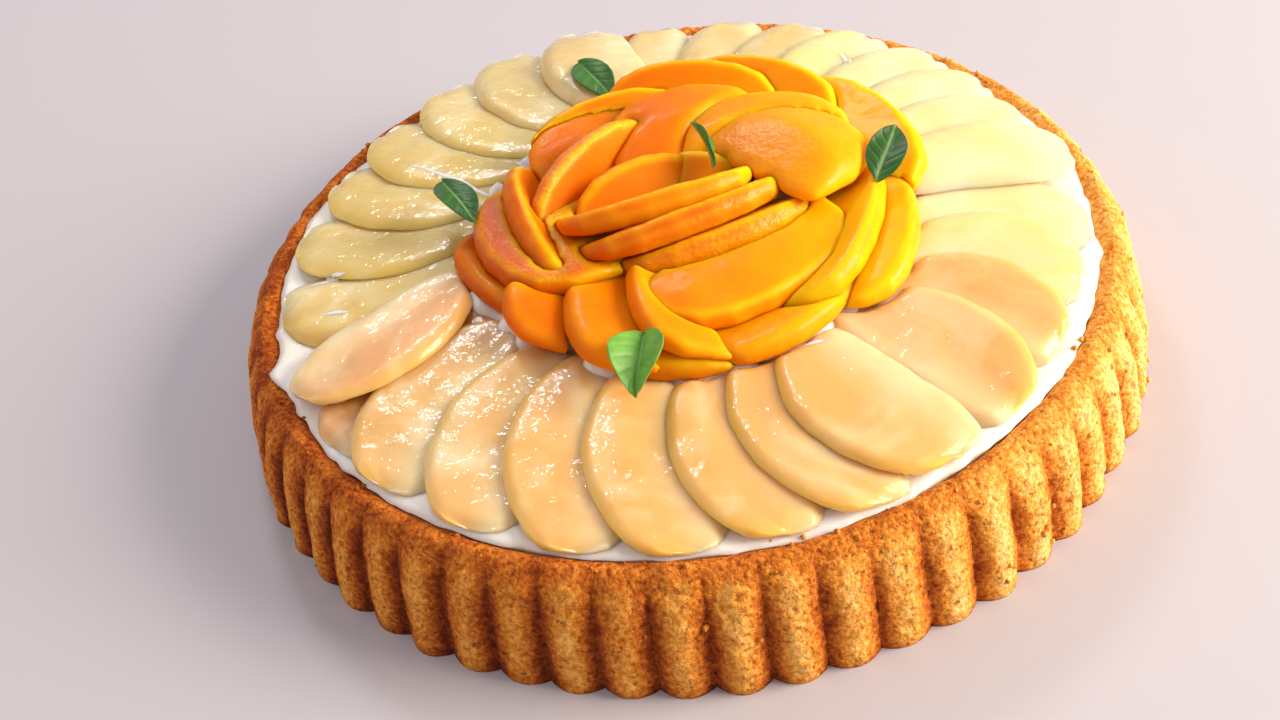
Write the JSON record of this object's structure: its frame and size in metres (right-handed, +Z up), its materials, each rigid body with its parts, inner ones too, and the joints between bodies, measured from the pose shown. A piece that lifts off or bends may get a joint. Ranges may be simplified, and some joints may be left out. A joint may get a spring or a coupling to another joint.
{
  "type": "upside-down pear peach tart",
  "caption": "Round fluted sponge tart turned out of its tin, filled with cream and topped with a ring of pear slices, a rose of peach slices and small herb leaves.",
  "frame": {"origin": "middle of the flat underside of the sponge case, on the surface it rests on", "axes": "+Z up out of the tart, -Y to the front that the leaf on the cream's near side faces, +X to the right"},
  "size_m": [0.28, 0.28, 0.069],
  "materials": {
    "crust": "baked sponge, golden brown, porous and dry",
    "cream": "spread whipped cream, soft and slightly glossy",
    "pear": "poached pear, wet and translucent",
    "peach": "poached peach, wet and translucent",
    "leaf": "fresh herb leaf, satin"
  },
  "bodies": {
    "root": {"sponge_case": "crust", "cream_filling": "cream", "pear_slice_01": "pear", "pear_slice_02": "pear", "pear_slice_03": "pear", "pear_slice_04": "pear", "pear_slice_05": "pear", "pear_slice_06": "pear", "pear_slice_07": "pear", "pear_slice_08": "pear", "pear_slice_09": "pear", "pear_slice_10": "pear", "pear_slice_11": "pear", "pear_slice_12": "pear", "pear_slice_13": "pear", "pear_slice_14": "pear", "pear_slice_15": "pear", "pear_slice_16": "pear", "pear_slice_17": "pear", "pear_slice_18": "pear", "pear_slice_19": "pear", "pear_slice_20": "pear", "pear_slice_21": "pear", "pear_slice_22": "pear", "pear_slice_23": "pear", "pear_slice_24": "pear", "pear_slice_25": "pear", "pear_slice_26": "pear", "pear_slice_27": "pear", "pear_slice_28": "pear", "peach_slice_01": "peach", "peach_slice_02": "peach", "peach_slice_03": "peach", "peach_slice_04": "peach", "peach_slice_05": "peach", "peach_slice_06": "peach", "peach_slice_07": "peach", "peach_slice_08": "peach", "peach_slice_09": "peach", "peach_slice_10": "peach", "peach_slice_11": "peach", "peach_slice_12": "peach", "peach_slice_13": "peach", "peach_slice_14": "peach", "peach_slice_15": "peach", "peach_slice_16": "peach", "peach_slice_17": "peach", "peach_slice_18": "peach", "peach_slice_19": "peach", "peach_slice_20": "peach", "peach_slice_21": "peach", "peach_slice_22": "peach", "peach_slice_23": "peach", "peach_slice_24": "peach", "peach_slice_25": "peach", "leaf_1": "leaf", "leaf_2": "leaf", "leaf_3": "leaf", "leaf_4": "leaf", "leaf_5": "leaf"}
  },
  "joints": []
}
